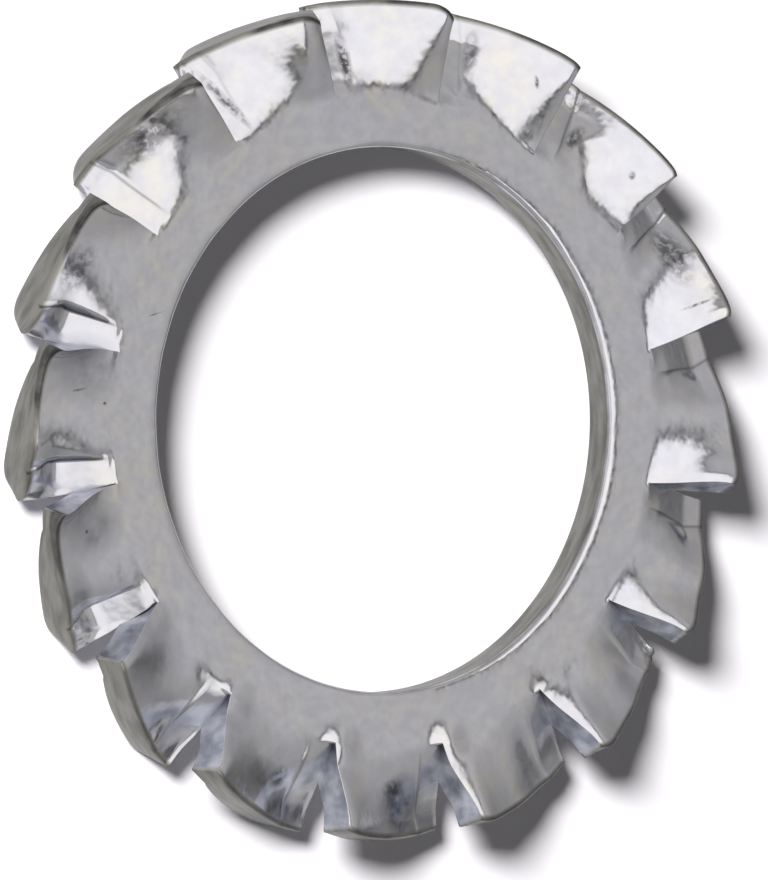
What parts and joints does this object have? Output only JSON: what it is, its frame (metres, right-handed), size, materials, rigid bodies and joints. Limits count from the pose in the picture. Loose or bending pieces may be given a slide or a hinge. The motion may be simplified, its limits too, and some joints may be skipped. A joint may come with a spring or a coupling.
{
  "type": "toothed lock washer",
  "caption": "Flat steel ring with a serrated outer edge of sheared, twisted teeth that bite into the screw head and the work to keep a joint from turning loose.",
  "frame": {"origin": "centre of the bore, half-way through the ring's thickness", "axes": "+Z along the washer's axis, towards the screw head; +X through the middle of one tooth"},
  "size_m": [0.0202, 0.0202, 0.0024],
  "materials": {
    "zinc_plated_spring_steel": "satin, stamped and zinc plated"
  },
  "bodies": {
    "root": {"lock_washer": "zinc_plated_spring_steel"}
  },
  "joints": []
}
